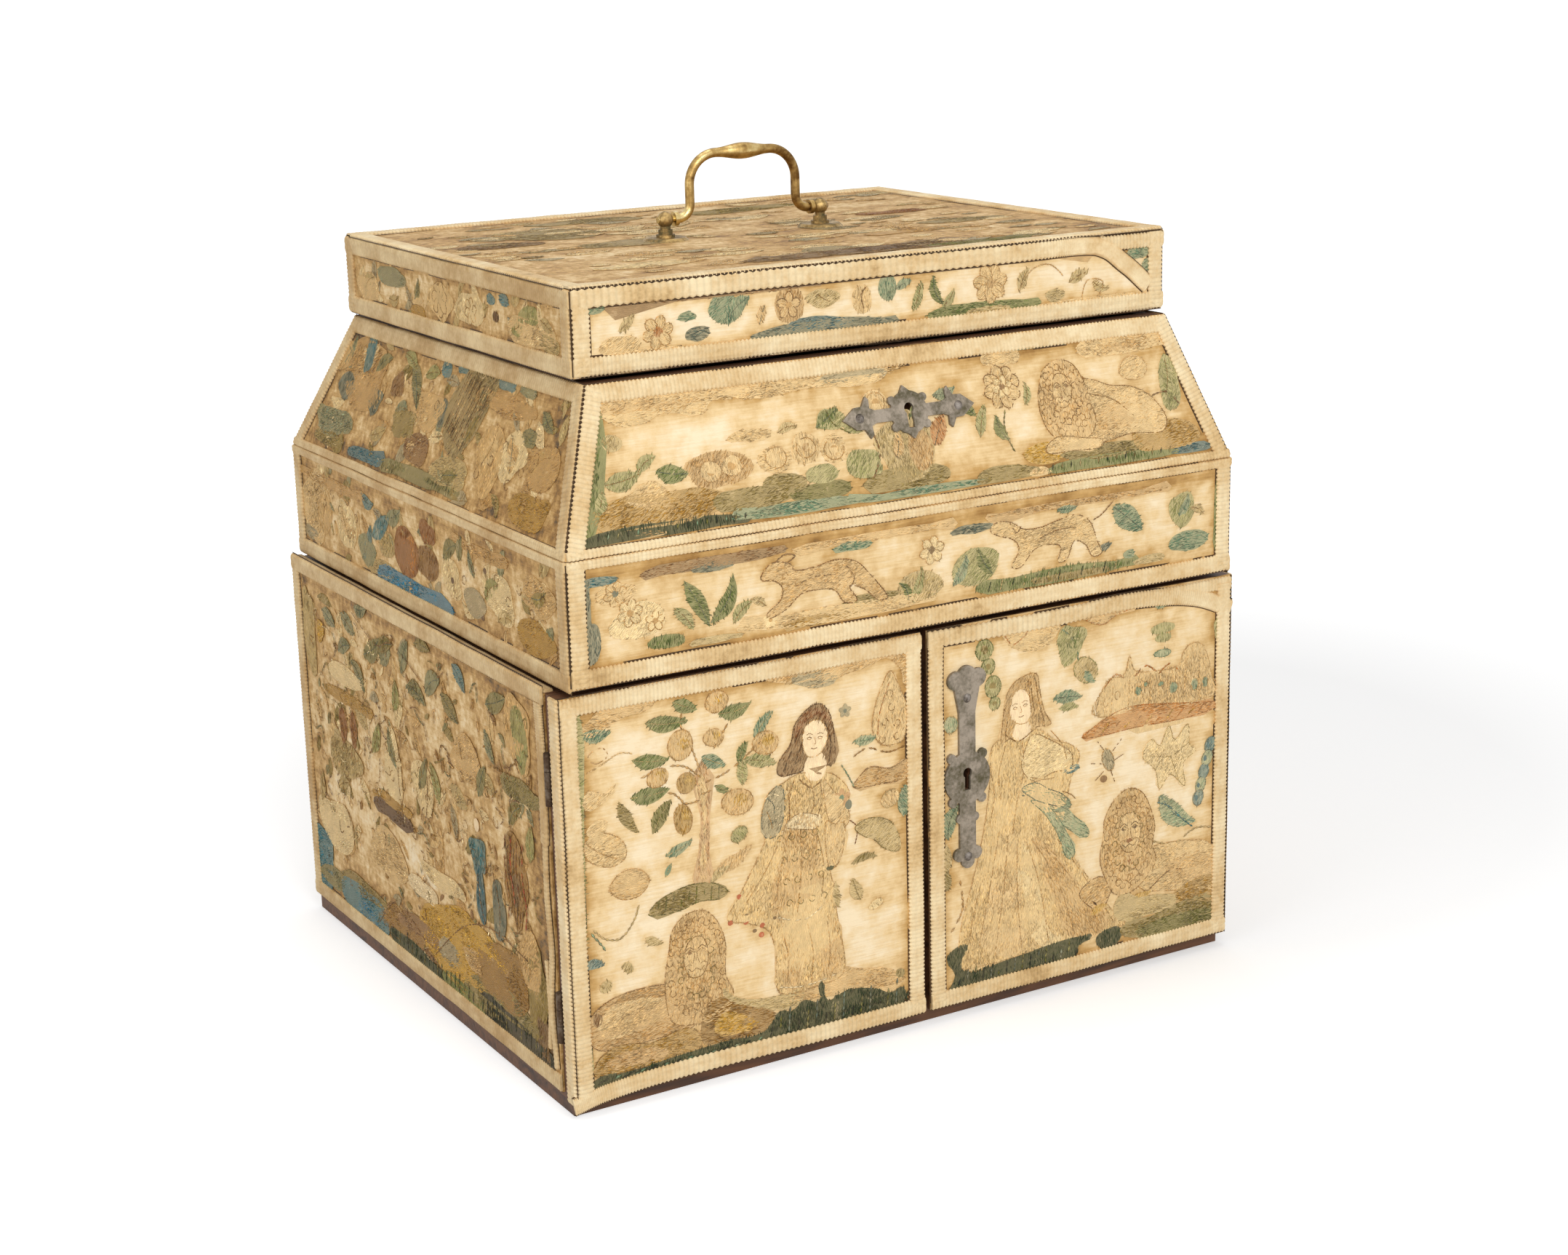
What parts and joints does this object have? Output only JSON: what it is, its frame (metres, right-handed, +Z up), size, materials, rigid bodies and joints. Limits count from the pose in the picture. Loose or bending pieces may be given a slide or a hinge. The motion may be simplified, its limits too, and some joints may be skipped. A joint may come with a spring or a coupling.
{
  "type": "embroidered casket",
  "caption": "Small wooden cabinet covered in embroidered satin and braid, with doors over drawers, a lifting sloped upper case and a hinged lid with a bail handle.",
  "frame": {"origin": "middle of the bounding box at the underside of the base board", "axes": "+Z up, the doors face -Y, +X to the right of a person who faces the doors"},
  "size_m": [0.2806, 0.2457, 0.3078],
  "materials": {
    "dark_wood": "old stained pine and oak carcase boards",
    "pale_wood": "thin inner boards, waxed",
    "satin": "aged ivory silk satin with coloured needlework",
    "braid": "ribbed cream galloon braid",
    "iron": "wrought and filed, tarnished",
    "bright_steel": "worn bright",
    "brass": "gilt brass, dark in the hollows",
    "mirror_glass": "thin old plate"
  },
  "bodies": {
    "carcase": {"base_board": "dark_wood", "side_left_board": "dark_wood", "side_right_board": "dark_wood", "back_board": "dark_wood", "centre_partition": "pale_wood", "drawer_shelves": "pale_wood", "well_floor": "pale_wood", "well_front_board": "dark_wood", "well_lining": "pale_wood", "well_dividers": "pale_wood", "side_left_satin": "satin", "side_right_satin": "satin", "back_satin": "satin", "carcase_braid": "braid", "carcase_hinge_leaves": "iron", "carcase_hinge_pins": "iron"},
    "door_left": {"door_left_board": "dark_wood", "door_left_satin": "satin", "door_left_braid": "braid", "door_left_hinge_leaves": "iron"},
    "door_right": {"door_right_board": "dark_wood", "door_right_satin": "satin", "door_right_braid": "braid", "door_right_hinge_leaves": "iron", "door_escutcheon": "iron", "door_escutcheon_nails": "bright_steel", "door_lock_case": "iron"},
    "door_bolt": {"door_lock_bolt": "bright_steel"},
    "upper_case": {"band_front_board": "dark_wood", "band_side_boards": "dark_wood", "band_back_board": "dark_wood", "slope_front_board": "dark_wood", "slope_side_boards": "dark_wood", "slope_back_board": "dark_wood", "compartment_floor": "pale_wood", "upper_satin": "satin", "upper_braid": "braid", "upper_hinge_leaves": "iron", "lid_hinge_frame_leaves": "iron", "slope_escutcheon": "iron", "slope_escutcheon_nails": "bright_steel", "lid_lock_case": "iron"},
    "lid_bolt": {"lid_lock_bolt": "bright_steel"},
    "lid": {"lid_top_board": "dark_wood", "lid_rim_boards": "dark_wood", "lid_satin": "satin", "lid_braid": "braid", "lid_looking_glass": "mirror_glass", "lid_staple": "iron", "lid_hinge_leaves": "iron", "handle_roses": "brass", "handle_posts": "brass"},
    "bail": {"handle_bail": "brass"},
    "drawer_left_low": {"drawer_left_low": "pale_wood"},
    "drawer_left_mid": {"drawer_left_mid": "pale_wood"},
    "drawer_left_top": {"drawer_left_top": "pale_wood"},
    "drawer_right_low": {"drawer_right_low": "pale_wood"},
    "drawer_right_mid": {"drawer_right_mid": "pale_wood"},
    "drawer_right_top": {"drawer_right_top": "pale_wood"}
  },
  "joints": [
    {"name": "upper_lift", "type": "hinge", "parent": "carcase", "child": "upper_case", "pos_m": [0, 0.1214, 0.1485], "axis": [-1, 0, 0], "range_deg": [0, 95]},
    {"name": "lid_lift", "type": "hinge", "parent": "upper_case", "child": "lid", "pos_m": [0, 0.0914, 0.24535], "axis": [-1, 0, 0], "range_deg": [0, 100]},
    {"name": "door_left_swing", "type": "hinge", "parent": "carcase", "child": "door_left", "pos_m": [-0.139, -0.11, 0.07615], "axis": [0, 0, -1], "range_deg": [0, 125]},
    {"name": "door_right_swing", "type": "hinge", "parent": "carcase", "child": "door_right", "pos_m": [0.139, -0.11, 0.07615], "axis": [0, 0, 1], "range_deg": [0, 125]},
    {"name": "bail_swing", "type": "hinge", "parent": "lid", "child": "bail", "pos_m": [-0.0016, -0.008, 0.2823], "axis": [1, 0, 0], "range_deg": [-95, 95]},
    {"name": "door_bolt_slide", "type": "slide", "parent": "door_right", "child": "door_bolt", "axis": [-1, 0, 0], "range_m": [0, 0.006]},
    {"name": "lid_bolt_slide", "type": "slide", "parent": "upper_case", "child": "lid_bolt", "axis": [1, 0, 0], "range_m": [0, 0.007]},
    {"name": "drawer_left_low_slide", "type": "slide", "parent": "carcase", "child": "drawer_left_low", "axis": [0, -1, 0], "range_m": [0, 0.055]},
    {"name": "drawer_left_mid_slide", "type": "slide", "parent": "carcase", "child": "drawer_left_mid", "axis": [0, -1, 0], "range_m": [0, 0.055]},
    {"name": "drawer_left_top_slide", "type": "slide", "parent": "carcase", "child": "drawer_left_top", "axis": [0, -1, 0], "range_m": [0, 0.055]},
    {"name": "drawer_right_low_slide", "type": "slide", "parent": "carcase", "child": "drawer_right_low", "axis": [0, -1, 0], "range_m": [0, 0.055]},
    {"name": "drawer_right_mid_slide", "type": "slide", "parent": "carcase", "child": "drawer_right_mid", "axis": [0, -1, 0], "range_m": [0, 0.055]},
    {"name": "drawer_right_top_slide", "type": "slide", "parent": "carcase", "child": "drawer_right_top", "axis": [0, -1, 0], "range_m": [0, 0.055]}
  ],
  "couplings": [
    {"joint": "drawer_left_low_slide", "follows": "door_left_swing", "m_per_rad": 0.025},
    {"joint": "drawer_left_mid_slide", "follows": "door_left_swing", "m_per_rad": 0.025},
    {"joint": "drawer_left_top_slide", "follows": "door_left_swing", "m_per_rad": 0.025},
    {"joint": "drawer_right_low_slide", "follows": "door_right_swing", "m_per_rad": 0.025},
    {"joint": "drawer_right_mid_slide", "follows": "door_right_swing", "m_per_rad": 0.025},
    {"joint": "drawer_right_top_slide", "follows": "door_right_swing", "m_per_rad": 0.025}
  ]
}
